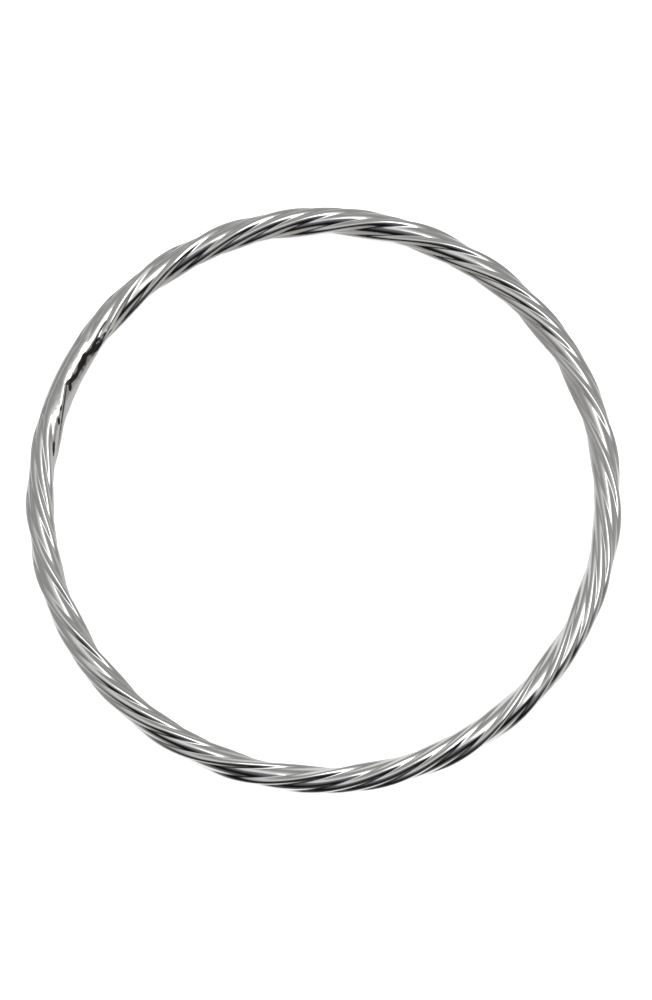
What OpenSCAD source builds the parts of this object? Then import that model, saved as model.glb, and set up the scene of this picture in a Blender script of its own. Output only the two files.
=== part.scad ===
// Twisted wire bangle: a closed round bangle bent from one thick ribbed bar,
// twisted to the left before it was bent and soldered shut at one place.
// It lies on its side. X and Y lie in the plane of the ring, Z points up,
// and the origin is the middle of the ring on the surface that it rests on.

/* [Ring] */
// Clear width inside the bangle, between its innermost ribs
inner_d = 64; // [58:0.5:72]
// Thickness of the twisted bar, over its highest rib
bar_d = 3.42; // [2.6:0.02:4.2]

/* [Twist] */
// Turns that the bar makes about its own line, once round the ring
twist_turns = 6.25; // [3:0.25:8]
// Turn of the first groove at the solder joint, in degrees from outward
twist_start = 314.5; // [0:0.5:359.5]
// How strongly the ribs stand out, where 1 is the full height
rib_strength = 1; // [0.2:0.05:1.2]
// How uneven the twist is round the ring, where 1 is as twisted by hand
twist_unevenness = 1; // [0:0.1:1.5]

/* [Solder joint] */
// Place of the joint round the ring, in degrees from +X
joint_angle = 155; // [0:1:359]
// Half the stretch where the solder hides the ribs, in degrees of ring
joint_half = 4; // [2:0.5:14]
// Stretch on each side where the ribs rise out of the solder, in degrees of ring
joint_blend = 13; // [6:1:30]
// Thickness of the bar at the joint
joint_d = 3.18; // [2.6:0.02:3.3]

/* [Smoothness] */
// Sections round the ring
sections = 180; // [120:4:200]
// Flats across each rib
rib_flats = 4; // [3:1:4]

/* [Hidden] */

// One row for each rib, in the order that they lie round the bar: the angle
// of the groove where the rib starts, in degrees, the radius at that groove
// and the height of the rib's crown, both as shares of the bar's radius, and
// how sharp its crest is, from 0 for a round crown to 0.9 for a narrow ridge
RIBS = [
    // start, foot, crown, sharp
    [  0, 0.831, 0.122, 0.25],
    [ 44, 0.846, 0.124, 0.40],
    [ 88, 0.847, 0.058, 0.40],
    [134, 0.801, 0.196, 0.40],
    [179, 0.809, 0.022, 0.40],
    [227, 0.784, 0.202, 0.00],
    [270, 0.811, 0.042, 0.35],
    [316, 0.833, 0.157, 0.30],
];
START = 0;
FOOT = 1;
CROWN = 2;
SHARP = 3;

// One row for each slow wave of the twist: how many waves go round the ring,
// how far the ribs run ahead at its top, in degrees about the bar's line,
// and the place of one top round the ring, in degrees from +X
TWIST_WAVES = [
    // waves, ahead, top
    [1, 6.7, -168],
    [2, 3.0, 85],
    [3, 3.6, -2],
    [4, 2.9, 37],
    [5, 2.1, -9],
    [6, 1.4, 12],
];
WAVES = 0;
AHEAD = 1;
TOP = 2;

bar_r = bar_d / 2;
ring_r = inner_d / 2 + bar_r;
joint_r = joint_d / 2;
rib_count = len(RIBS);
section_points = rib_count * rib_flats;
// Under the solder the points of a section lie evenly, so that the last
// section, which ends part of a turn on, meets the first one point for point
seam_shift = round(twist_turns * section_points) % section_points;
even_step = 360 / section_points;

// Row of the table for rib i, counted on past the last rib
function rib(i) = RIBS[i % rib_count];

// Angle of the groove where rib i starts
function groove_angle(i) = rib(i)[START] + 360 * floor(i / rib_count);

// Angle about the bar's line of point k in a section, before the twist
function point_angle(k, share) =
    let (
        i = floor(k / rib_flats),
        part = (k % rib_flats) / rib_flats,
        on_rib = groove_angle(i) + part * (groove_angle(i + 1) - groove_angle(i)),
        even = even_step * k
    )
    even + share * (on_rib - even);

// Distance of that point from the bar's line: each rib is a low crown
// that stands on the line from its own groove to the next
function ribbed_radius(k) =
    let (
        i = floor(k / rib_flats),
        part = (k % rib_flats) / rib_flats,
        foot = rib(i)[FOOT] + part * (rib(i + 1)[FOOT] - rib(i)[FOOT]),
        across = pow(2 * part - 1, 2),
        crown = rib(i)[CROWN] * (1 - across) * (1 - rib(i)[SHARP] * across)
    )
    bar_r * (foot + rib_strength * crown);

// How far the ribs run ahead of an even twist at a place round the ring
function twist_ahead(place) =
    twist_unevenness * ([for (w = TWIST_WAVES) w[AHEAD] * cos(w[WAVES] * (place - w[TOP]))]
    * [for (w = TWIST_WAVES) 1]);

// Smooth step from 0 to 1
function ease(t) = let (c = min(max(t, 0), 1)) c * c * (3 - 2 * c);

// Share of the ribs' form that shows, by degrees of ring from the joint
function rib_share(along) =
    let (away = min(along, 360 - along))
    ease((away - joint_half) / joint_blend);

// Point k of the section that lies so many degrees of ring past the joint
function bar_point(along, k) =
    let (
        place = joint_angle + along,
        share = rib_share(along),
        radius = joint_r + share * (ribbed_radius(k) - joint_r),
        turn = point_angle(k, share) + twist_start + twist_turns * along + twist_ahead(place),
        reach = ring_r + radius * cos(turn)
    )
    [reach * cos(place), reach * sin(place), bar_r + radius * sin(turn)];

// Index of a point, where the section past the last one is the first again
function point_index(s, k) =
    s < sections
        ? s * section_points + k % section_points
        : (k + seam_shift) % section_points;

// The bar as one closed ring of ribbed sections
module twisted_bar() {
    points = [
        for (s = [0 : sections - 1], k = [0 : section_points - 1])
            bar_point(360 * s / sections, k)
    ];
    faces = [
        for (s = [0 : sections - 1], k = [0 : section_points - 1])
            each [
                [point_index(s, k), point_index(s, k + 1), point_index(s + 1, k + 1)],
                [point_index(s, k), point_index(s + 1, k + 1), point_index(s + 1, k)],
            ]
    ];
    color("silver")
        polyhedron(points = points, faces = faces);
}

twisted_bar();
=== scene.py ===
"""Dresses the twisted wire bangle: one ribbed silver bar, bent to a closed ring.

The bar is built by Geometry Nodes from the same short tables as the solid, with
finer ribs, the unevenness of hand twisting and the run of the solder. The light
is a soft studio surround: one soft box overhead, a dark side where the camera
stands and a grey room, with a table below that only the metal sees.
"""

import logging
import math
from dataclasses import dataclass
from enum import Enum
from typing import TypeAlias

import bpy
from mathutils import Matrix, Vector


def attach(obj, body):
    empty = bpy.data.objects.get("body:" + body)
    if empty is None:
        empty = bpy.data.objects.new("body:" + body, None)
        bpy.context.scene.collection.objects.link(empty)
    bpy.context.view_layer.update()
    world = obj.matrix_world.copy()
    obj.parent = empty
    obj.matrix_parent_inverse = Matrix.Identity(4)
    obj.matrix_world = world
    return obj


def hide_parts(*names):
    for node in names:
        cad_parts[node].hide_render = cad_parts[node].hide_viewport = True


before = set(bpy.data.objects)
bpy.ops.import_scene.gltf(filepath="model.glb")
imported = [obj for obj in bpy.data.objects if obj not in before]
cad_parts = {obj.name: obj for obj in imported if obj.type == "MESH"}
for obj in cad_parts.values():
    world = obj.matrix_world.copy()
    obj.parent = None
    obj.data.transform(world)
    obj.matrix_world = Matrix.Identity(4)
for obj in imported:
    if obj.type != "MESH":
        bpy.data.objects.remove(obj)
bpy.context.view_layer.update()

log = logging.getLogger("bangle")

MM = 0.001
TURN = 2 * math.pi
Number: TypeAlias = "Value | float"
Colour: TypeAlias = tuple[float, float, float]
Stops: TypeAlias = tuple[tuple[float, Colour], ...]


@dataclass(frozen=True)
class Grain:
    """How fine and how strong a smooth noise is.

    Attributes:
        waves: Waves for each unit of the coordinates that it is read at.
        detail: How many finer layers lie on it.
        spread: How far its highest value lies above its lowest.
    """

    waves: float
    detail: float
    spread: float = 1.0


class Value:
    """One number in a node tree. Arithmetic on it adds the Math nodes."""

    def __init__(self, maker: "NodeMaker", socket: bpy.types.NodeSocket) -> None:
        """Wraps a socket.

        Args:
            maker: The maker of the tree that the socket is in.
            socket: The output socket that carries the number.
        """
        self.maker = maker
        self.socket = socket

    def math(self, operation: str, *others: Number) -> "Value":
        """Adds one Math node that starts from this number.

        Args:
            operation: The Math node's operation.
            others: Its second and third numbers, as values or floats.

        Returns:
            The node's result.
        """
        return self.maker.math(operation, self, *others)

    def __add__(self, other: Number) -> "Value":
        """Adds."""
        return self.math("ADD", other)

    __radd__ = __add__

    def __mul__(self, other: Number) -> "Value":
        """Multiplies."""
        return self.math("MULTIPLY", other)

    __rmul__ = __mul__

    def __sub__(self, other: Number) -> "Value":
        """Subtracts."""
        return self.math("SUBTRACT", other)

    def __rsub__(self, other: float) -> "Value":
        """Subtracts from a plain number."""
        return self.maker.math("SUBTRACT", other, self)

    def __truediv__(self, other: Number) -> "Value":
        """Divides."""
        return self.math("DIVIDE", other)

    def __neg__(self) -> "Value":
        """Changes the sign."""
        return self.math("MULTIPLY", -1.0)

    def __abs__(self) -> "Value":
        """Drops the sign."""
        return self.math("ABSOLUTE")

    def floor(self) -> "Value":
        """Rounds down."""
        return self.math("FLOOR")

    def sin(self) -> "Value":
        """Sine, of radians."""
        return self.math("SINE")

    def cos(self) -> "Value":
        """Cosine, of radians."""
        return self.math("COSINE")

    def exp(self) -> "Value":
        """Raises e to this power."""
        return self.math("EXPONENT")

    def eased(self, low: float, high: float) -> "Value":
        """Smooth step from 0 at one value to 1 at another.

        Args:
            low: Where the step starts.
            high: Where it ends; below low for a step that falls.

        Returns:
            The step, from 0 to 1.
        """
        rising = low < high
        given = {
            "Value": self,
            "From Min": min(low, high),
            "From Max": max(low, high),
            "To Min": 0.0 if rising else 1.0,
            "To Max": 1.0 if rising else 0.0,
        }
        node = self.maker.make("ShaderNodeMapRange", {"interpolation_type": "SMOOTHSTEP"}, given)
        return self.maker.value(node, "Result")


class NodeMaker:
    """Adds nodes to one tree."""

    def __init__(self, tree: bpy.types.NodeTree) -> None:
        """Takes the tree.

        Args:
            tree: The geometry or shader tree to add to.
        """
        self.tree = tree

    def make(
        self,
        kind: str,
        settings: dict[str, object] | None = None,
        sockets: dict[int | str, object] | None = None,
    ) -> bpy.types.Node:
        """Adds one node, its settings first and then its sockets.

        Args:
            kind: The node's type.
            settings: The node's own settings; "stops" holds a ramp's places and
                colours, and "choices" the values of an Index Switch.
            sockets: What goes into its sockets, by number or name: a Value, a
                socket to link, or a plain value.

        Returns:
            The node.
        """
        node = self.tree.nodes.new(kind)
        for name, setting in (settings or {}).items():
            if name == "stops":
                self._set_stops(node.color_ramp, setting)
            elif name == "choices":
                self._set_choices(node, setting)
            else:
                setattr(node, name, setting)
        for name, given in (sockets or {}).items():
            socket = node.inputs[name]
            given = given.socket if isinstance(given, Value) else given
            if isinstance(given, bpy.types.NodeSocket):
                self.tree.links.new(given, socket)
            else:
                socket.default_value = given
        return node

    def value(self, node: bpy.types.Node, output: int | str = 0) -> Value:
        """Wraps one output of a node."""
        return Value(self, node.outputs[output])

    def math(self, operation: str, *given: Number) -> Value:
        """Adds one Math node.

        Args:
            operation: The node's operation.
            given: Its numbers in order, as values or floats.

        Returns:
            The node's result.
        """
        return self.value(self.make("ShaderNodeMath", {"operation": operation}, dict(enumerate(given))))

    def noise(self, vector: bpy.types.NodeSocket, grain: Grain) -> Value:
        """Adds smooth noise.

        Args:
            vector: The coordinates it is read at.
            grain: How fine it is; its spread isn't used.

        Returns:
            The noise, from 0 to 1 and about 0.5 on average.
        """
        given = {"Vector": vector, "Scale": grain.waves, "Detail": grain.detail}
        return self.value(self.make("ShaderNodeTexNoise", {"noise_dimensions": "3D"}, given))

    def ripple(self, vector: bpy.types.NodeSocket, grain: Grain) -> Value:
        """Adds smooth noise about zero.

        Args:
            vector: The coordinates it is read at.
            grain: How fine and how strong it is.

        Returns:
            The noise, about 0 on average.
        """
        return (self.noise(vector, grain) - 0.5) * grain.spread

    def vector(self, x: Number, y: Number, z: Number) -> bpy.types.NodeSocket:
        """Joins three numbers to a vector.

        Args:
            x: First number.
            y: Second number.
            z: Third number.

        Returns:
            The vector's socket.
        """
        return self.make("ShaderNodeCombineXYZ", None, {0: x, 1: y, 2: z}).outputs[0]

    def parts(self, vector: bpy.types.NodeSocket) -> tuple[Value, Value, Value]:
        """Splits a vector into its three numbers."""
        node = self.make("ShaderNodeSeparateXYZ", None, {0: vector})
        return self.value(node, 0), self.value(node, 1), self.value(node, 2)

    def mix(self, share: Number, first: object, second: object) -> bpy.types.NodeSocket:
        """Mixes two colours.

        Args:
            share: Share of the second colour.
            first: A colour's socket, or a plain colour.
            second: A colour's socket, or a plain colour.

        Returns:
            The mixed colour's socket.
        """
        sockets = {0: share, 6: first, 7: second}
        return self.make("ShaderNodeMix", {"data_type": "RGBA"}, sockets).outputs[2]

    def grey(self, level: Number) -> bpy.types.NodeSocket:
        """Turns a number into a grey of that brightness."""
        return self.vector(level, level, level)

    def ramp(self, value: Value, stops: Stops) -> bpy.types.NodeSocket:
        """Turns a number into a colour.

        Args:
            value: The number.
            stops: Places and the colours at them.

        Returns:
            The colour's socket.
        """
        return self.make("ShaderNodeValToRGB", {"stops": stops}, {0: value}).outputs[0]

    @staticmethod
    def _set_stops(ramp: bpy.types.ColorRamp, stops: Stops) -> None:
        """Gives a ramp its stops.

        Args:
            ramp: The ramp, whose own stops go.
            stops: Places and the colours at them.
        """
        ramp.interpolation = "EASE"
        while len(ramp.elements) > 1:
            ramp.elements.remove(ramp.elements[-1])
        for number, (place, colour) in enumerate(stops):
            element = ramp.elements[0] if number == 0 else ramp.elements.new(place)
            element.position = place
            element.color = (*colour, 1.0)

    @staticmethod
    def _set_choices(node: bpy.types.Node, choices: tuple[float, ...]) -> None:
        """Gives an Index Switch its values.

        Args:
            node: The switch.
            choices: Its values, in order.
        """
        node.data_type = "FLOAT"
        while len(node.index_switch_items) < len(choices):
            node.index_switch_items.new()
        for number, choice in enumerate(choices):
            node.inputs[number + 1].default_value = choice


def new_material(name: str) -> tuple[bpy.types.Material, NodeMaker]:
    """Makes an empty material.

    Args:
        name: The material's name.

    Returns:
        The material, and the maker of its nodes.
    """
    material = bpy.data.materials.new(name)
    material.use_nodes = True
    material.node_tree.nodes.clear()
    return material, NodeMaker(material.node_tree)


def new_object(name: str, data: bpy.types.ID) -> bpy.types.Object:
    """Adds an object to the scene, at the origin.

    Args:
        name: The object's name.
        data: Its mesh, lamp or camera.

    Returns:
        The object.
    """
    added = bpy.data.objects.new(name, data)
    bpy.context.scene.collection.objects.link(added)
    return added


def circle(radius: float, height: float, sides: int) -> list[tuple[float, float, float]]:
    """Lists the corners of a level circle about the origin.

    Args:
        radius: Its radius, in metres.
        height: Its height, in metres.
        sides: How many corners it has.

    Returns:
        The corners.
    """
    turns = [TURN * i / sides for i in range(sides)]
    return [(radius * math.cos(turn), radius * math.sin(turn), height) for turn in turns]


@dataclass(frozen=True)
class Rib:
    """One rib of the bar.

    Attributes:
        start: Angle of the groove where it starts, in degrees round the bar.
        foot: Radius at that groove, as a share of the bar's radius.
        crown: Height of its crown, as a share of the bar's radius.
        sharp: How sharp its crest is, from 0 for a round crown to 0.9 for a ridge.
        lean: How far its crest leans to its far side, from -0.5 to 0.5.
    """

    start: float
    foot: float
    crown: float
    sharp: float
    lean: float


@dataclass(frozen=True)
class TwistWave:
    """One slow wave of the twist round the ring.

    Attributes:
        waves: How many waves go round the ring.
        ahead: How far the ribs run ahead at its top, in degrees.
        top: Place of one top, in degrees from +X.
    """

    waves: int
    ahead: float
    top: float


@dataclass(frozen=True)
class SolderMark:
    """One oval mark of the solder joint: a lump, a dent or a spot of painted dark reflection.

    Attributes:
        place: Place of its middle round the ring, in degrees from +X.
        turn: Its turn about the bar's line, in degrees from outward, 90 on top.
        half_length: Half its length, in degrees of ring.
        half_width: Half its width, in degrees about the bar's line.
        lift: How far it stands out, in millimetres; below 0 for a dent.
        lean: Degrees that it turns about the bar's line for each degree of ring.
        black: How strongly its painted dark reflection shows, from 0 to 1.
    """

    place: float
    turn: float
    half_length: float
    half_width: float
    lift: float
    lean: float = 0.0
    black: float = 0.0


RIBS = (
    Rib(start=0, foot=0.831, crown=0.122, sharp=0.25, lean=0.0),
    Rib(start=44, foot=0.846, crown=0.124, sharp=0.4, lean=-0.1),
    Rib(start=88, foot=0.847, crown=0.058, sharp=0.4, lean=-0.3),
    Rib(start=134, foot=0.801, crown=0.196, sharp=0.4, lean=-0.2),
    Rib(start=179, foot=0.809, crown=0.022, sharp=0.4, lean=0.1),
    Rib(start=227, foot=0.784, crown=0.202, sharp=0.0, lean=-0.25),
    Rib(start=270, foot=0.811, crown=0.042, sharp=0.35, lean=0.2),
    Rib(start=316, foot=0.833, crown=0.157, sharp=0.3, lean=0.05),
)

TWIST_WAVES = (
    TwistWave(waves=1, ahead=6.7, top=-168),
    TwistWave(waves=2, ahead=3.0, top=85),
    TwistWave(waves=3, ahead=3.6, top=-2),
    TwistWave(waves=4, ahead=2.9, top=37),
    TwistWave(waves=5, ahead=2.1, top=-9),
    TwistWave(waves=6, ahead=1.4, top=12),
)

SOLDER_MARKS = (
    # The broad lumps and dents of the joint
    SolderMark(place=151.0, turn=62, half_length=6.0, half_width=26, lift=0.07),
    SolderMark(place=151.5, turn=126, half_length=5.0, half_width=20, lift=-0.15),
    SolderMark(place=157.4, turn=93, half_length=2.4, half_width=13, lift=0.06, lean=5.4),
    SolderMark(place=157.0, turn=150, half_length=7.0, half_width=30, lift=-0.08),
    SolderMark(place=160.0, turn=112, half_length=4.0, half_width=16, lift=0.07, lean=5.4),
    SolderMark(place=145.9, turn=68, half_length=0.9, half_width=8, lift=-0.03),
    # The ragged band of painted dark reflection along it, its thin seam and loose spots
    SolderMark(place=156.0, turn=117, half_length=0.9, half_width=11, lift=-0.02, lean=10, black=1),
    SolderMark(place=154.9, turn=108, half_length=1.2, half_width=13, lift=-0.02, lean=-8, black=1),
    SolderMark(place=153.6, turn=119, half_length=1.4, half_width=15, lift=-0.03, lean=-6, black=1),
    SolderMark(place=152.3, turn=123, half_length=1.1, half_width=10, lift=-0.02, black=0.9),
    SolderMark(place=151.0, turn=119, half_length=1.5, half_width=15, lift=-0.03, lean=3, black=1),
    SolderMark(place=149.6, turn=117, half_length=1.5, half_width=17, lift=-0.02, lean=6, black=1),
    SolderMark(place=148.2, turn=119, half_length=1.3, half_width=10, lift=-0.02, lean=-3, black=0.95),
    SolderMark(place=146.4, turn=133, half_length=1.9, half_width=19, lift=-0.03, lean=-3, black=0.95),
    SolderMark(place=145.2, turn=118, half_length=1.6, half_width=8, lift=-0.02, lean=-2, black=0.9),
    SolderMark(place=143.6, turn=146, half_length=3.2, half_width=6, lift=-0.02, lean=-2, black=0.95),
    SolderMark(place=142.6, turn=103, half_length=2.6, half_width=4, lift=-0.02, lean=3.4, black=0.8),
    SolderMark(place=160.4, turn=124, half_length=5.8, half_width=4, lift=-0.05, lean=5.4, black=0.8),
    SolderMark(place=169.4, turn=136, half_length=1.7, half_width=7, lift=-0.02, lean=5, black=0.8),
    SolderMark(place=163.6, turn=126, half_length=0.8, half_width=8, lift=-0.02, lean=9, black=0.75),
    SolderMark(place=161.0, turn=114, half_length=0.7, half_width=5, lift=-0.02, lean=4, black=0.6),
    # Bright specks at the band's end
    SolderMark(place=144.2, turn=122, half_length=0.5, half_width=6, lift=0.04),
    SolderMark(place=143.2, turn=117, half_length=0.4, half_width=5, lift=0.04),
    SolderMark(place=142.4, turn=124, half_length=0.4, half_width=5, lift=0.03),
)


class Slot(Enum):
    """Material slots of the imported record."""

    SILVER = "polished_silver"


@dataclass(frozen=True)
class PolishedSilver:
    """Solid silver, polished bright, with slight tarnish where a cloth can't reach.

    Attributes:
        colour: Colour of the clean metal.
        shine: Roughness of the clean metal.
        least_rough: Roughness that no place falls below.
        relief: How strongly the fine relief shows.
        relief_height: Height of the fine relief, in metres.
        streaks: The polishing streaks.
        streaks_round: How closely they lie round the bar.
        streaks_along: How closely they change along it.
        streak_relief: Share of the streaks in the relief.
        streak_rough: How much the roughness changes from streak to streak.
        scratches: The finest scratches.
        scratch_relief: Share of the scratches in the relief.
        groove_shade: Colour of the painted shade in the grooves.
        groove_shade_share: Share of that colour where the painted shade is strongest.
        groove_rough: How much rougher the metal is there.
        cloud: How the painted shade changes from place to place.
        cloud_least: Strength of the painted shade where the cloud is thinnest.
        cloud_change: How much stronger it is where the cloud is thickest.
        groove_shade_reach: Strengths where the painted shade starts and where it is full.
        dark_reflection: Colour of the painted dark reflection in the black band at the solder.
        dark_reflection_rough: How much rougher the metal is there than the clean metal.
        dark_reflection_relief: How much the scratches grow in it.
        dark_reflection_dead: How much less metallic it is.
        dark_reflection_edge: Width of its edge, as a share of half its own width.
        ragged: How ragged its edge is, in the same shares.
    """

    colour: Colour = (0.91, 0.905, 0.89)
    shine: float = 0.06
    least_rough: float = 0.02
    relief: float = 0.35
    relief_height: float = 0.002 * MM
    streaks: Grain = Grain(waves=3, detail=3)
    streaks_round: float = 4
    streaks_along: float = 90
    streak_relief: float = 0.8
    streak_rough: float = 0.04
    scratches: Grain = Grain(waves=2600, detail=2)
    scratch_relief: float = 0.2
    groove_shade: Colour = (0.62, 0.60, 0.57)
    groove_shade_share: float = 0.35
    groove_rough: float = 0.08
    cloud: Grain = Grain(waves=180, detail=3)
    cloud_least: float = 0.6
    cloud_change: float = 0.8
    groove_shade_reach: tuple[float, float] = (0.55, 1.15)
    dark_reflection: Colour = (0.030, 0.026, 0.024)
    dark_reflection_rough: float = 0.28
    dark_reflection_relief: float = 2.0
    dark_reflection_dead: float = 0.2
    dark_reflection_edge: float = 0.22
    ragged: Grain = Grain(waves=1500, detail=3, spread=1.5)

    def make(self, ring_radius: float, bar_radius: float) -> bpy.types.Material:
        """Makes the material.

        Args:
            ring_radius: Radius of the bar's line, in metres.
            bar_radius: Radius of the bar, in metres.

        Returns:
            The material.
        """
        material, nodes = new_material(Slot.SILVER.value)
        place = nodes.make("ShaderNodeTexCoord").outputs["Object"]
        uv = nodes.make("ShaderNodeUVMap", {"uv_map": "UVMap"}).outputs[0]
        along, across, _ = nodes.parts(uv)
        groove = nodes.value(nodes.make("ShaderNodeAttribute", {"attribute_name": "groove"}), "Fac")
        turn = across * TURN
        streak_place = nodes.vector(
            turn.cos() * self.streaks_round, turn.sin() * self.streaks_round, along * self.streaks_along
        )
        streaks = nodes.noise(streak_place, self.streaks)
        cloud = nodes.noise(place, self.cloud)
        scratches = nodes.noise(place, self.scratches)

        # Painted shade: the base colour darkens in the grooves, more where the cloud is thick
        strength = groove * (self.cloud_least + self.cloud_change * cloud)
        groove_shade_mask = strength.eased(*self.groove_shade_reach)
        clean = nodes.mix(groove_shade_mask * self.groove_shade_share, (*self.colour, 1.0), (*self.groove_shade, 1.0))
        dark_reflection_mask = self._dark_reflection_spots(nodes, place, ring_radius, bar_radius)
        # Painted dark reflection: the black band at the solder is painted into the base colour
        colour = nodes.mix(dark_reflection_mask, clean, (*self.dark_reflection, 1.0))
        roughness = self.shine + (streaks - 0.5) * self.streak_rough
        roughness = roughness + groove_shade_mask * self.groove_rough + dark_reflection_mask * self.dark_reflection_rough
        scratched = scratches * (self.scratch_relief + self.dark_reflection_relief * dark_reflection_mask)
        bump = nodes.make(
            "ShaderNodeBump",
            None,
            {
                "Strength": self.relief,
                "Distance": self.relief_height,
                "Height": streaks * self.streak_relief + scratched,
            },
        )
        shader = nodes.make(
            "ShaderNodeBsdfPrincipled",
            None,
            {
                "Base Color": colour,
                "Metallic": 1.0 - self.dark_reflection_dead * dark_reflection_mask,
                "Roughness": roughness.math("MAXIMUM", self.least_rough),
                "Normal": bump.outputs[0],
            },
        )
        nodes.make("ShaderNodeOutputMaterial", None, {"Surface": shader.outputs[0]})
        return material

    def _dark_reflection_spots(
        self, nodes: NodeMaker, position: bpy.types.NodeSocket, ring_radius: float, bar_radius: float
    ) -> Value:
        """Finds the ragged spots of painted dark reflection at the solder joint.

        Args:
            nodes: The tree's maker.
            position: The place on the object.
            ring_radius: Radius of the bar's line, in metres.
            bar_radius: Radius of the bar, in metres.

        Returns:
            1 on the painted dark reflection and 0 beside it.
        """
        x, y, z = nodes.parts(position)
        place = y.math("ARCTAN2", x)
        reach = (x * x + y * y).math("SQRT") - ring_radius
        turn = (z - bar_radius).math("ARCTAN2", reach)
        ragged = nodes.ripple(position, self.ragged)
        deepest = place * 0.0 - 1.0
        for mark in (m for m in SOLDER_MARKS if m.black > 0):
            along = place - math.radians(mark.place)
            across = turn - along * mark.lean - math.radians(mark.turn)
            u = along / math.radians(mark.half_length)
            v = across / math.radians(mark.half_width)
            inside = (1.0 - (u * u + v * v)) * mark.black
            deepest = deepest.math("MAXIMUM", inside)
        return (deepest + ragged).eased(0.0, self.dark_reflection_edge)


@dataclass
class TwistedBar:
    """The whole bangle: one ribbed bar, twisted, bent to a ring and soldered shut.

    Attributes:
        inner_width: Clear width inside the bangle, in metres.
        thickness: Thickness over the highest rib, in metres.
        joint_thickness: Thickness at the solder joint, in metres.
        twist_turns: Turns about its own line, once round the ring.
        twist_start: Turn of the first groove at the joint, in degrees.
        joint_place: Place of the joint round the ring, in degrees.
        joint_half: Half the stretch where solder hides the ribs, in degrees.
        joint_blend: Stretch where the ribs rise out of the solder, in degrees.
        sections: Sections round the ring.
        rib_points: Points across each rib.
        crowding: How much closer the sections lie at the joint, from 0 to 1.
        crown_change: How a crown's height changes along its rib, as a share of the
            bar's radius.
        crown_ring: Radius of the ring on which that change is read.
        crown_apart: How far apart it is read for one rib and the next.
        groove_gain: How fast a groove counts as deep with the height of its crown.
        surface: Unevenness of the whole surface, in metres.
        solder: Unevenness of the solder's surface, in metres.
        seam_gap: Points closer than this are joined at the seams, in metres.
        finish: The bar's finish.
    """

    inner_width: float = 64 * MM
    thickness: float = 3.42 * MM
    joint_thickness: float = 3.18 * MM
    twist_turns: float = 6.25
    twist_start: float = 314.5
    joint_place: float = 155
    joint_half: float = 4
    joint_blend: float = 12
    sections: int = 960
    rib_points: int = 12
    crowding: float = 0.5
    crown_change: Grain = Grain(waves=2.2, detail=1, spread=0.03)
    crown_ring: float = 3
    crown_apart: float = 5.3
    groove_gain: float = 8
    surface: Grain = Grain(waves=420, detail=2, spread=0.04 * MM)
    solder: Grain = Grain(waves=900, detail=2, spread=0.08 * MM)
    seam_gap: float = 0.002 * MM
    finish: PolishedSilver = PolishedSilver()

    @property
    def bar_radius(self) -> float:
        """Radius over the highest rib, in metres."""
        return self.thickness / 2

    @property
    def ring_radius(self) -> float:
        """Radius of the bar's own line, in metres."""
        return self.inner_width / 2 + self.bar_radius

    def build(self) -> bpy.types.Object:
        """Builds the bar's mesh.

        Returns:
            The finished object, at the origin, without modifiers.
        """
        bar = new_object("silver_bar", bpy.data.meshes.new("silver_bar"))
        material = self.finish.make(self.ring_radius, self.bar_radius)
        tree, inputs = self._tree(material)
        modifier = bar.modifiers.new("ribs", "NODES")
        modifier.node_group = tree
        sizes = {
            "Ring radius": self.ring_radius,
            "Bar radius": self.bar_radius,
            "Joint radius": self.joint_thickness / 2,
            "Twist turns": self.twist_turns,
            "Twist start": math.radians(self.twist_start),
            "Joint place": math.radians(self.joint_place),
            "Sections": self.sections,
            "Rib points": self.rib_points,
        }
        for name, size in sizes.items():
            modifier[inputs[name]] = size
        depsgraph = bpy.context.evaluated_depsgraph_get()
        mesh = bpy.data.meshes.new_from_object(bar.evaluated_get(depsgraph))
        bar.modifiers.clear()
        bar.data = mesh
        mesh.name = "silver_bar"
        return bar

    def dress(self, bar: bpy.types.Object) -> None:
        """Ties the bar to the frame, with its finish.

        Args:
            bar: The finished object.
        """
        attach(bar, "root")
        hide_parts("twisted_bar")

    def _tree(self, material: bpy.types.Material) -> tuple[bpy.types.NodeTree, dict[str, str]]:
        """Builds the node tree that makes the bar.

        Args:
            material: What the bar is made of.

        Returns:
            The tree, and the identifier of each of its named inputs.
        """
        tree = bpy.data.node_groups.new("ribbed_bar", "GeometryNodeTree")
        tree.interface.new_socket("Geometry", in_out="OUTPUT", socket_type="NodeSocketGeometry")
        kinds = {
            "Ring radius": "NodeSocketFloat",
            "Bar radius": "NodeSocketFloat",
            "Joint radius": "NodeSocketFloat",
            "Twist turns": "NodeSocketFloat",
            "Twist start": "NodeSocketFloat",
            "Joint place": "NodeSocketFloat",
            "Sections": "NodeSocketInt",
            "Rib points": "NodeSocketInt",
        }
        inputs = {
            name: tree.interface.new_socket(name, in_out="INPUT", socket_type=kind).identifier
            for name, kind in kinds.items()
        }
        nodes = NodeMaker(tree)
        entry = nodes.make("NodeGroupInput")
        size = {name: nodes.value(entry, name) for name in kinds}
        points = size["Rib points"] * float(len(RIBS))
        grid = nodes.make(
            "GeometryNodeMeshGrid",
            None,
            {"Vertices X": size["Sections"] + 1.0, "Vertices Y": points + 1.0},
        )
        position, depth = self._surface(nodes, size, points)
        closed = self._closed(nodes, grid, position, depth)
        smooth = nodes.make("GeometryNodeSetShadeSmooth", None, {"Geometry": closed})
        real = nodes.make("GeometryNodeRealizeInstances", None, {"Geometry": smooth.outputs[0]})
        dressed = nodes.make(
            "GeometryNodeSetMaterial", None, {"Geometry": real.outputs[0], "Material": material}
        )
        nodes.make("NodeGroupOutput", None, {"Geometry": dressed.outputs[0]})
        return tree, inputs

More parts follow.
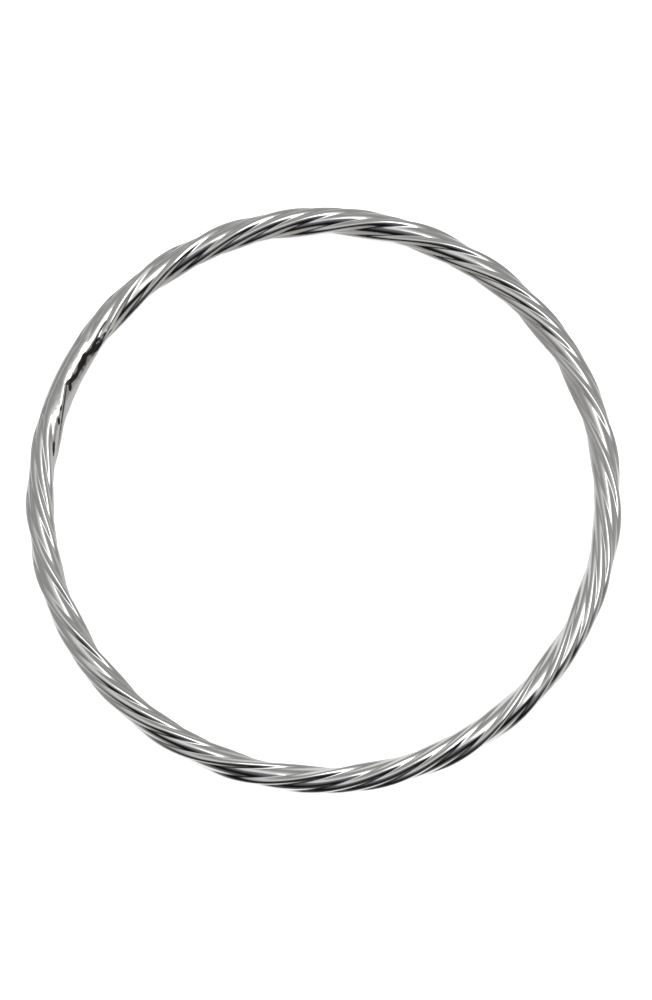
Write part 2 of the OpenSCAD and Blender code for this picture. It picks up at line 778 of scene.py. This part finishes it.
    def _surface(
        self, nodes: NodeMaker, size: dict[str, Value], points: Value
    ) -> tuple[bpy.types.NodeSocket, Value]:
        """Works out where each point of the flat grid lies on the bar.

        Args:
            nodes: The tree's maker.
            size: The tree's inputs.
            points: Steps from point to point across a whole section.

        Returns:
            The point's position, and how deep in a groove it lies, from 0 to 1.
        """
        index = nodes.value(nodes.make("GeometryNodeInputIndex"))
        section = ((index + 0.5) / (points + 1.0)).floor()
        k = index - section * (points + 1.0)
        along = self._crowded(section / size["Sections"]) * TURN
        place = size["Joint place"] + along
        away = along.math("MINIMUM", TURN - along)
        hidden, whole = self.joint_half, self.joint_half + self.joint_blend
        share = away.eased(math.radians(hidden), math.radians(whole))

        angle, radius, depth = self._rib_form(nodes, size, k, share, place)
        turn = angle + size["Twist start"] + size["Twist turns"] * along + self._twist_ahead(place)
        even = self._on_ring(nodes, size, place, turn, radius)
        uneven = nodes.ripple(even, self.surface)
        lumps = nodes.ripple(even, self.solder) * (1.0 - share)
        lift = uneven + lumps + self._solder_lift(place, turn)
        return self._on_ring(nodes, size, place, turn, radius + lift), depth

    def _closed(
        self, nodes: NodeMaker, grid: bpy.types.Node, position: bpy.types.NodeSocket, depth: Value
    ) -> bpy.types.NodeSocket:
        """Moves the flat grid on to the bar, maps it and joins its edges.

        Args:
            nodes: The tree's maker.
            grid: The flat grid.
            position: Where each of its points goes.
            depth: How deep in a groove it lies, from 0 to 1.

        Returns:
            The closed bar's socket.
        """
        placed = nodes.make(
            "GeometryNodeSetPosition", None, {"Geometry": grid.outputs[0], "Position": position}
        )
        flat_along, flat_across, _ = nodes.parts(grid.outputs[1])
        mapped = nodes.make(
            "GeometryNodeStoreNamedAttribute",
            {"data_type": "FLOAT2", "domain": "CORNER"},
            {
                "Geometry": placed.outputs[0],
                "Name": "UVMap",
                "Value": nodes.vector(self._crowded(flat_along), flat_across, 0.0),
            },
        )
        marked = nodes.make(
            "GeometryNodeStoreNamedAttribute",
            {"data_type": "FLOAT", "domain": "POINT"},
            {"Geometry": mapped.outputs[0], "Name": "groove", "Value": depth},
        )
        joined = nodes.make(
            "GeometryNodeMergeByDistance",
            None,
            {"Geometry": marked.outputs[0], "Distance": self.seam_gap},
        )
        return joined.outputs[0]

    def _rib_form(
        self, nodes: NodeMaker, size: dict[str, Value], k: Value, share: Value, place: Value
    ) -> tuple[Value, Value, Value]:
        """Works out the ribs: each is a low crown from its groove to the next.

        Args:
            nodes: The tree's maker.
            size: The tree's inputs.
            k: Number of the point in its section.
            share: Share of the ribs' form that shows.
            place: Place round the ring, in radians.

        Returns:
            The point's angle about the bar's line before the twist, its distance
            from that line, and how deep in a groove it lies, from 0 to 1.
        """
        count = float(len(RIBS))
        reach = k / size["Rib points"]
        rib = reach.floor()
        part = reach - rib

        def looked_up(number: Value, row: tuple[float, ...]) -> Value:
            """Looks up a rib's value in one column, counted on past the last rib."""
            switch = nodes.make(
                "GeometryNodeIndexSwitch", {"choices": row}, {"Index": number.math("MODULO", count)}
            )
            return nodes.value(switch)

        starts = tuple(math.radians(r.start) for r in RIBS)
        feet = tuple(r.foot for r in RIBS)
        crowns = tuple(r.crown for r in RIBS)
        sharps = tuple(r.sharp for r in RIBS)
        leans = tuple(r.lean for r in RIBS)
        second_rib = rib + 1.0
        first = looked_up(rib, starts) + (rib / count).floor() * TURN
        second = looked_up(second_rib, starts) + (second_rib / count).floor() * TURN
        even = reach / count * TURN
        angle = even + share * (first + part * (second - first) - even)

        across = 2.0 * part - 1.0
        foot_here = looked_up(rib, feet)
        foot = foot_here + part * (looked_up(second_rib, feet) - foot_here)
        own_place = nodes.vector(
            place.cos() * self.crown_ring, place.sin() * self.crown_ring, rib * self.crown_apart
        )
        crown = looked_up(rib, crowns) + nodes.ripple(own_place, self.crown_change)
        square = across * across
        sharpened = 1.0 - looked_up(rib, sharps) * square
        leaning = 1.0 + looked_up(rib, leans) * across
        form = (1.0 - square) * sharpened * leaning
        ribbed = size["Bar radius"] * (foot + crown * form)
        radius = size["Joint radius"] + share * (ribbed - size["Joint radius"])
        depth = square * share * (crown * self.groove_gain).math("MINIMUM", 1.0)
        return angle, radius, depth

    def _crowded(self, share: Value) -> Value:
        """Moves an even share of the way round closer to the joint.

        Args:
            share: Share of the way round, from 0 to 1.

        Returns:
            The moved share, still from 0 to 1.
        """
        return share - (share * TURN).sin() * (self.crowding / TURN)

    def _solder_lift(self, place: Value, turn: Value) -> Value:
        """Works out how far the solder's marks stand out.

        Args:
            place: Place round the ring, in radians.
            turn: Turn about the bar's line, in radians.

        Returns:
            The lift, in metres.
        """
        total = place * 0.0
        for mark in SOLDER_MARKS:
            # The sine of half an angle has no jump where the angle starts again
            off = place - math.radians(mark.place)
            across = turn - off.sin() * mark.lean - math.radians(mark.turn)
            u = (off * 0.5).sin() * (2.0 / math.radians(mark.half_length))
            v = (across * 0.5).sin() * (2.0 / math.radians(mark.half_width))
            total = total + (-(u * u + v * v)).exp() * (mark.lift * MM)
        return total

    def _twist_ahead(self, place: Value) -> Value:
        """How far the ribs run ahead of an even twist, in radians.

        Args:
            place: Place round the ring, in radians.

        Returns:
            The sum of the twist's slow waves.
        """
        total = place * 0.0
        for wave in TWIST_WAVES:
            top = math.radians(wave.top)
            total = total + ((place - top) * float(wave.waves)).cos() * math.radians(wave.ahead)
        return total

    def _on_ring(
        self, nodes: NodeMaker, size: dict[str, Value], place: Value, turn: Value, radius: Value
    ) -> bpy.types.NodeSocket:
        """Finds the point at a distance and turn about the bar's line.

        Args:
            nodes: The tree's maker.
            size: The tree's inputs.
            place: Place round the ring, in radians.
            turn: Turn about the bar's line, in radians.
            radius: Distance from the bar's line, in metres.

        Returns:
            The point's vector socket.
        """
        reach = size["Ring radius"] + radius * turn.cos()
        height = size["Bar radius"] + radius * turn.sin()
        return nodes.vector(reach * place.cos(), reach * place.sin(), height)


@dataclass(frozen=True)
class PaleFloor:
    """A plain pale floor, hidden from the metal's reflections.

    Attributes:
        radius: Radius of the round floor, in metres.
        sides: Sides of its edge.
        colour: Colour of the floor.
        darkest: Darkest grain of the paper, as a share of its colour.
        grain: The paper's grain.
        rough: Roughness of the paper.
    """

    radius: float = 4.0
    sides: int = 96
    colour: Colour = (0.93, 0.93, 0.93)
    darkest: float = 0.985
    grain: Grain = Grain(waves=900, detail=2)
    rough: float = 0.9

    def build(self) -> bpy.types.Object:
        """Builds the floor and its finish.

        Returns:
            The floor.
        """
        mesh = bpy.data.meshes.new("floor")
        mesh.from_pydata(circle(self.radius, 0.0, self.sides), [], [tuple(range(self.sides))])
        mesh.materials.append(self._finish())
        floor = new_object("floor", mesh)
        floor.visible_glossy = False
        return floor

    def _finish(self) -> bpy.types.Material:
        """Makes the matt finish of the floor.

        Returns:
            The material.
        """
        material, nodes = new_material("pale_paper")
        place = nodes.make("ShaderNodeTexCoord").outputs["Object"]
        grain = nodes.noise(place, self.grain)
        darker = tuple(self.darkest * c for c in self.colour)
        colour = nodes.mix(grain, (*darker, 1.0), (*self.colour, 1.0))
        shader = nodes.make(
            "ShaderNodeBsdfPrincipled", None, {"Base Color": colour, "Roughness": self.rough}
        )
        nodes.make("ShaderNodeOutputMaterial", None, {"Surface": shader.outputs[0]})
        return material


@dataclass(frozen=True)
class Sector:
    """A soft-edged range of directions round the horizon.

    Attributes:
        azimuth: Its middle, in degrees from +X.
        start: How far from the middle it starts to fade, in degrees.
        end: How far from the middle it ends, in degrees.
        strength: How strongly it shows.
    """

    azimuth: float
    start: float
    end: float
    strength: float = 1.0

    def mark(self, azimuth: Value, wider: Number = 0.0) -> Value:
        """Marks the directions in the range.

        Args:
            azimuth: The direction, in radians.
            wider: How much wider the range is on each side, in degrees.

        Returns:
            The strength near the middle, falling to 0 at the ends.
        """
        turned = azimuth - math.radians(self.azimuth)
        off = abs(turned.sin().math("ARCTAN2", turned.cos())) - wider * math.radians(1)
        return off.eased(math.radians(self.end), math.radians(self.start)) * self.strength


@dataclass(frozen=True)
class ReflectedTable:
    """What the metal sees of the table outside the ring.

    It is grey, a little darker at the left, black towards the camera, and white
    close round the bar. Only reflections show it. It hides the floor of the
    surround from the outer side of the bar, so that only the inner side sees
    the paler floor there.

    Attributes:
        inner: Radius of its inner edge, in metres.
        outer: Radius of its outer edge, in metres.
        height: Height above the floor, in metres.
        sides: Sides of its edges.
        grey: Brightness of the grey part.
        left: The darker part at the left, with how much darker it is.
        black: The black part.
        black_level: Brightness of the black part, far out.
        near_level: How much brighter the black part is near the bar.
        near_reach: Where that brightness is full and where it ends, in metres.
        white_level: How much brighter the table is close round the bar.
        white_extra: How much more that is in the black part.
        white_reach: Where that white is full and where it ends, in metres.
    """

    inner: float = 33.8 * MM
    outer: float = 400 * MM
    height: float = 0.02 * MM
    sides: int = 96
    grey: float = 0.31
    left: Sector = Sector(azimuth=152, start=26, end=64, strength=0.05)
    black: Sector = Sector(azimuth=-87, start=10, end=52)
    black_level: float = 0.012
    near_level: float = 0.16
    near_reach: tuple[float, float] = (35 * MM, 52 * MM)
    white_level: float = 0.45
    white_extra: float = 0.45
    white_reach: tuple[float, float] = (36 * MM, 41 * MM)

    def build(self) -> bpy.types.Object:
        """Builds the flat ring and its finish.

        Returns:
            The ring.
        """
        points = circle(self.inner, self.height, self.sides) + circle(self.outer, self.height, self.sides)
        pairs = [(i, (i + 1) % self.sides) for i in range(self.sides)]
        faces = [(i, i + self.sides, after + self.sides, after) for i, after in pairs]
        mesh = bpy.data.meshes.new("reflected_table")
        mesh.from_pydata(points, [], faces)
        mesh.materials.append(self._finish())
        table = new_object("reflected_table", mesh)
        table.visible_camera = False
        table.visible_diffuse = False
        table.visible_shadow = False
        return table

    def _finish(self) -> bpy.types.Material:
        """Makes the finish, which glows as bright as the table looked.

        Returns:
            The material.
        """
        material, nodes = new_material("table_in_metal")
        x, y, _ = nodes.parts(nodes.make("ShaderNodeTexCoord").outputs["Object"])
        azimuth = y.math("ARCTAN2", x)
        reach = (x * x + y * y).math("SQRT")
        black = self.black.mark(azimuth)
        near = reach.eased(*reversed(self.near_reach))
        white = reach.eased(*reversed(self.white_reach))
        black_change = self.black_level + near * self.near_level - self.grey
        level = self.grey + black * black_change - self.left.mark(azimuth)
        level = level + white * (self.white_level + self.white_extra * black)
        glow = nodes.make("ShaderNodeEmission", None, {"Color": nodes.grey(level)})
        nodes.make("ShaderNodeOutputMaterial", None, {"Surface": glow.outputs[0]})
        return material


@dataclass(frozen=True)
class SoftBox:
    """The long soft box nearly overhead, as it shows on a level plane at a height of 1.

    Attributes:
        middle: Its middle, to the right and back.
        half: Half its length and half its width.
        turn: How far its long side is turned, in degrees.
        edge: Width of its soft edge.
        level: How bright it is.
        halo: Width of the halo round it.
        halo_level: How bright the halo is.
        halo_share: How strongly the halo shows at the box.
        lowest: Least height of a direction that sees the level plane.
    """

    middle: tuple[float, float] = (0.35, 0.0)
    half: tuple[float, float] = (0.33, 0.115)
    turn: float = -44
    edge: float = 0.06
    level: float = 2.3
    halo: float = 0.50
    halo_level: float = 0.80
    halo_share: float = 0.75
    lowest: float = 0.001

    def shine(
        self,
        nodes: NodeMaker,
        direction: tuple[Value, Value, Value],
        colour: bpy.types.NodeSocket,
        in_dark: Value,
    ) -> bpy.types.NodeSocket:
        """Lays the box and its halo over the surround.

        Args:
            nodes: The tree's maker.
            direction: The direction looked in, right, back and up.
            colour: Colour of the surround there.
            in_dark: 1 on the dark side, which has no halo.

        Returns:
            The colour with the box.
        """
        x, y, z = direction
        above = z.math("MAXIMUM", self.lowest)
        right = x / above - self.middle[0]
        back = y / above - self.middle[1]
        cos, sin = math.cos(math.radians(self.turn)), math.sin(math.radians(self.turn))
        length = abs(right * cos + back * sin) - self.half[0]
        width = abs(back * cos - right * sin) - self.half[1]
        in_box = length.eased(self.edge, 0.0) * width.eased(self.edge, 0.0)
        halo = length.math("MAXIMUM", width).eased(self.halo, 0.0) * (1.0 - in_dark)
        colour = nodes.mix(halo * self.halo_share, colour, (*[self.halo_level] * 3, 1.0))
        return nodes.mix(in_box, colour, (*[self.level] * 3, 1.0))


@dataclass(frozen=True)
class StudioLight:
    """Soft studio light: a surround that the metal reflects, and a broad lamp for the floor.

    The surround has a long soft box nearly overhead, a dark side where the
    camera stands, a grey room and two pale patches low down.

    Attributes:
        box: The soft box.
        dark_side: The dark side.
        dark_top: How far from straight up it is full, where straight down is 1.
        dark_spread: How much wider it is lower down, in degrees.
        spread_reach: Where it starts to widen and where it is widest.
        patches: The pale patches low down.
        patch_colour: Colour of the patches.
        patch_reach: Where the patches start and where they are full.
        room: Colours of the room from straight up, 0, to straight down, 1.
        dark: Colours of the dark side, in the same way.
        backdrop: Brightness of the background that the camera sees.
        floor_light: Strength of the lamp that lights the floor.
        floor_spread: How broad that lamp is, in degrees.
    """

    box: SoftBox = SoftBox()
    dark_side: Sector = Sector(azimuth=-86, start=34, end=60)
    dark_top: float = 0.04
    dark_spread: float = 14
    spread_reach: tuple[float, float] = (0.18, 0.32)
    patches: tuple[Sector, ...] = (
        Sector(azimuth=122, start=26, end=66, strength=0.8),
        Sector(azimuth=4, start=10, end=50, strength=0.35),
    )
    patch_colour: Colour = (0.85, 0.85, 0.845)
    patch_reach: tuple[float, float] = (0.40, 0.56)
    room: Stops = (
        (0.00, (0.52, 0.52, 0.52)),
        (0.10, (0.50, 0.50, 0.50)),
        (0.20, (0.36, 0.36, 0.358)),
        (0.27, (0.29, 0.289, 0.287)),
        (0.38, (0.28, 0.279, 0.277)),
        (0.60, (0.33, 0.328, 0.325)),
        (0.78, (0.36, 0.358, 0.355)),
        (0.92, (0.85, 0.85, 0.85)),
    )
    dark: Stops = (
        (0.00, (0.36, 0.362, 0.365)),
        (0.04, (0.24, 0.245, 0.255)),
        (0.083, (0.165, 0.172, 0.185)),
        (0.14, (0.125, 0.132, 0.145)),
        (0.194, (0.088, 0.094, 0.105)),
        (0.25, (0.036, 0.039, 0.044)),
        (0.30, (0.009, 0.009, 0.010)),
        (0.36, (0.004, 0.004, 0.004)),
        (0.42, (0.012, 0.011, 0.011)),
        (0.47, (0.075, 0.070, 0.066)),
        (0.53, (0.25, 0.24, 0.23)),
        (0.585, (0.35, 0.34, 0.33)),
        (0.64, (0.37, 0.36, 0.35)),
        (0.78, (0.38, 0.375, 0.37)),
        (0.92, (0.85, 0.85, 0.85)),
    )
    backdrop: float = 0.96
    floor_light: float = 6.5
    floor_spread: float = 90

    def build(self) -> None:
        """Makes the surround and the floor's lamp."""
        world = bpy.data.worlds.new("studio")
        bpy.context.scene.world = world
        world.use_nodes = True
        world.node_tree.nodes.clear()
        nodes = NodeMaker(world.node_tree)
        seen = nodes.make("ShaderNodeLightPath").outputs["Is Camera Ray"]
        surround = nodes.make("ShaderNodeBackground", None, {"Color": self._surround(nodes)})
        plain = (*[self.backdrop] * 3, 1.0)
        backdrop = nodes.make("ShaderNodeBackground", None, {"Color": plain})
        shown = nodes.make(
            "ShaderNodeMixShader", None, {0: seen, 1: surround.outputs[0], 2: backdrop.outputs[0]}
        )
        nodes.make("ShaderNodeOutputWorld", None, {"Surface": shown.outputs[0]})

        lamp = bpy.data.lights.new("floor_light", "SUN")
        lamp.energy = self.floor_light
        lamp.angle = math.radians(self.floor_spread)
        new_object("floor_light", lamp).visible_glossy = False

    def _surround(self, nodes: NodeMaker) -> bpy.types.NodeSocket:
        """Works out the surround's colour in each direction.

        Args:
            nodes: The world's maker.

        Returns:
            The colour's socket.
        """
        direction = nodes.parts(nodes.make("ShaderNodeTexCoord").outputs["Generated"])
        x, y, z = direction
        zenith = z.math("ARCCOSINE") / math.pi
        azimuth = y.math("ARCTAN2", x)
        wider = zenith.eased(*self.spread_reach) * self.dark_spread
        in_dark = self.dark_side.mark(azimuth, wider) * zenith.eased(0.0, self.dark_top)
        colour = nodes.mix(in_dark, nodes.ramp(zenith, self.room), nodes.ramp(zenith, self.dark))
        low = zenith.eased(*self.patch_reach)
        for patch in self.patches:
            colour = nodes.mix(patch.mark(azimuth) * low, colour, (*self.patch_colour, 1.0))
        return self.box.shine(nodes, direction, colour, in_dark)


@dataclass(frozen=True)
class PhotoCamera:
    """The camera, high over the front edge, with a long lens.

    Attributes:
        elevation: Height above the horizon, in degrees.
        distance: Distance from the middle of the ring, in metres.
        field: Height of what it sees at that distance, in metres.
        aim_right: How far to the right of the ring's middle it aims, in metres.
        aim_back: How far behind the ring's middle it aims, in metres.
        sensor: Long side of the sensor, in millimetres.
        nearest: Nearest thing that it shows, in metres.
        farthest: Farthest thing that it shows, in metres.
    """

    elevation: float = 79.9
    distance: float = 2.5
    field: float = 118.77 * MM
    aim_right: float = 0.247 * MM
    aim_back: float = -0.021 * MM
    sensor: float = 36.0
    nearest: float = 0.05
    farthest: float = 20.0

    def build(self, height: float) -> None:
        """Makes the camera.

        Args:
            height: Height of the bar's line above the floor, in metres.
        """
        data = bpy.data.cameras.new("camera")
        data.sensor_fit = "AUTO"
        data.sensor_width = self.sensor
        data.lens = self.sensor * self.distance / self.field
        data.clip_start = self.nearest
        data.clip_end = self.farthest
        camera = new_object("camera", data)
        tilt = math.radians(self.elevation)
        back = Vector((0.0, -math.cos(tilt), math.sin(tilt)))
        camera.location = Vector((self.aim_right, self.aim_back, height)) + back * self.distance
        camera.rotation_euler = (-back).to_track_quat("-Z", "Y").to_euler()
        bpy.context.scene.camera = camera


def main() -> None:
    """Builds the bangle, its stage, the light and the camera."""
    logging.basicConfig(level=logging.INFO, format="%(name)s: %(message)s")
    bpy.context.scene.view_settings.view_transform = "Standard"
    bar = TwistedBar()
    built = bar.build()
    bar.dress(built)
    log.info("%s: %d faces", built.name, len(built.data.polygons))
    floor = PaleFloor().build()
    log.info("%s: %d faces", floor.name, len(floor.data.polygons))
    table = ReflectedTable().build()
    log.info("%s: %d faces", table.name, len(table.data.polygons))
    StudioLight().build()
    PhotoCamera().build(bar.bar_radius)
    log.info("light and camera are in place")


if __name__ == "__main__":
    main()
